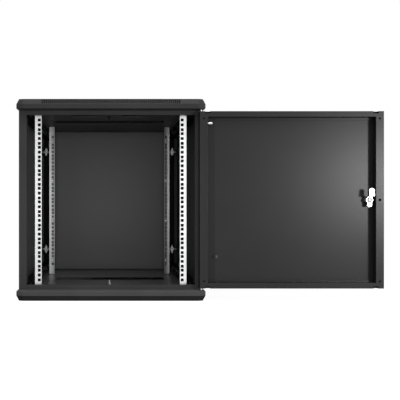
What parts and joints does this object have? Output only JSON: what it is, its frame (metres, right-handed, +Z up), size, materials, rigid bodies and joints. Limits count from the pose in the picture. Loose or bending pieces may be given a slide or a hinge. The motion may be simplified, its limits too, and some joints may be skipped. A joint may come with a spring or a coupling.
{
  "type": "wall mount network cabinet",
  "caption": "Wall-hung cabinet for 19-inch network equipment, with vented chamfered covers, sliding perforated rails, lift-off side panels and a solid lockable door shown open.",
  "frame": {"origin": "centre of the wall hole pattern, on the plane of the wall at the cabinet's back", "axes": "+Z up, +Y into the wall so the front faces -Y, +X to the right seen from the front"},
  "size_m": [1.1635, 0.6052, 0.641],
  "materials": {
    "black_paint": "satin fine-texture powder coat",
    "zinc_steel": "zinc plated",
    "rail_zinc": "zinc plated, satin",
    "latch_zinc": "die cast, plated",
    "spring_steel": "drawn wire",
    "lock_chrome": "polished",
    "black_plastic": "moulded"
  },
  "bodies": {
    "cabinet": {"top_cover": "black_paint", "bottom_cover": "black_paint", "front_post_left": "black_paint", "front_post_right": "black_paint", "front_beam_top": "black_paint", "front_beam_bottom": "black_paint", "rear_post_left": "black_paint", "rear_post_right": "black_paint", "rear_beam_top": "black_paint", "rear_beam_bottom": "black_paint", "side_beam_top_right": "black_paint", "side_beam_top_left": "black_paint", "side_beam_bottom_right": "black_paint", "side_beam_bottom_left": "black_paint", "roof_plate": "black_paint", "floor_plate": "black_paint", "back_panel": "black_paint", "top_entry_plate": "black_paint", "bottom_entry_plate": "black_paint", "hinge_lugs": "black_paint", "earth_studs": "zinc_steel", "earth_nuts": "zinc_steel", "sheet_screws": "zinc_steel"},
    "rail_front_right_body": {"rail_front_right": "rail_zinc", "rail_brackets_front_right": "rail_zinc", "rail_bolts_front_right": "rail_zinc"},
    "rail_front_left_body": {"rail_front_left": "rail_zinc", "rail_brackets_front_left": "rail_zinc", "rail_bolts_front_left": "rail_zinc"},
    "rail_rear_right_body": {"rail_rear_right": "rail_zinc", "rail_brackets_rear_right": "rail_zinc", "rail_bolts_rear_right": "rail_zinc"},
    "rail_rear_left_body": {"rail_rear_left": "rail_zinc", "rail_brackets_rear_left": "rail_zinc", "rail_bolts_rear_left": "rail_zinc"},
    "door": {"door_panel": "black_paint", "door_stile_hinge": "black_paint", "door_stile_lock": "black_paint", "door_rail_top": "black_paint", "door_rail_bottom": "black_paint", "hinge_brackets": "black_paint", "hinge_pin_lower": "zinc_steel", "hinge_spring": "spring_steel", "lock_housing": "lock_chrome", "lock_nut": "zinc_steel", "door_earth_stud": "zinc_steel"},
    "hinge_pin": {"hinge_pin_upper": "zinc_steel"},
    "lock_plug": {"lock_cylinder": "lock_chrome", "lock_cam": "zinc_steel", "lock_cam_screw": "zinc_steel"},
    "side_panel_right_body": {"side_panel_right": "black_paint", "latch_bushes_right": "black_plastic"},
    "side_panel_left_body": {"side_panel_left": "black_paint", "latch_bushes_left": "black_plastic"},
    "latch_upper_right_body": {"latch_upper_right": "latch_zinc"},
    "latch_upper_left_body": {"latch_upper_left": "latch_zinc"},
    "latch_lower_right_body": {"latch_lower_right": "latch_zinc"},
    "latch_lower_left_body": {"latch_lower_left": "latch_zinc"}
  },
  "joints": [
    {"name": "door_swing", "type": "hinge", "parent": "cabinet", "child": "door", "pos_m": [0.288, -0.586, 0], "axis": [0, 0, 1], "range_deg": [-180, 0]},
    {"name": "hinge_pin_pull", "type": "slide", "parent": "door", "child": "hinge_pin", "axis": [0, 0, 1], "range_m": [-0.014, 0], "stiffness_N_per_m": 400, "springref_m": 0.01, "deforming": ["hinge_spring"]},
    {"name": "lock_turn", "type": "hinge", "parent": "door", "child": "lock_plug", "pos_m": [0.822, -0.59, 0], "axis": [0, 1, 0], "range_deg": [0, 90]},
    {"name": "rail_front_right_slide", "type": "slide", "parent": "cabinet", "child": "rail_front_right_body", "axis": [0, 1, 0], "range_m": [-0.006, 0.12]},
    {"name": "rail_front_left_slide", "type": "slide", "parent": "cabinet", "child": "rail_front_left_body", "axis": [0, 1, 0], "range_m": [-0.006, 0.12]},
    {"name": "rail_rear_right_slide", "type": "slide", "parent": "cabinet", "child": "rail_rear_right_body", "axis": [0, 1, 0], "range_m": [-0.12, 0.05]},
    {"name": "rail_rear_left_slide", "type": "slide", "parent": "cabinet", "child": "rail_rear_left_body", "axis": [0, 1, 0], "range_m": [-0.12, 0.05]},
    {"name": "side_panel_right_swing", "type": "hinge", "parent": "cabinet", "child": "side_panel_right_body", "pos_m": [0.296, -0.54, 0], "axis": [0, 0, 1], "range_deg": [-45, 0]},
    {"name": "side_panel_left_swing", "type": "hinge", "parent": "cabinet", "child": "side_panel_left_body", "pos_m": [-0.296, -0.54, 0], "axis": [0, 0, 1], "range_deg": [0, 45]},
    {"name": "latch_upper_right_turn", "type": "hinge", "parent": "side_panel_right_body", "child": "latch_upper_right_body", "pos_m": [0.296, -0.05, 0.208], "axis": [1, 0, 0], "range_deg": [0, 90]},
    {"name": "latch_upper_left_turn", "type": "hinge", "parent": "side_panel_left_body", "child": "latch_upper_left_body", "pos_m": [-0.296, -0.05, 0.208], "axis": [1, 0, 0], "range_deg": [0, 90]},
    {"name": "latch_lower_right_turn", "type": "hinge", "parent": "side_panel_right_body", "child": "latch_lower_right_body", "pos_m": [0.296, -0.05, -0.208], "axis": [1, 0, 0], "range_deg": [0, 90]},
    {"name": "latch_lower_left_turn", "type": "hinge", "parent": "side_panel_left_body", "child": "latch_lower_left_body", "pos_m": [-0.296, -0.05, -0.208], "axis": [1, 0, 0], "range_deg": [0, 90]}
  ]
}
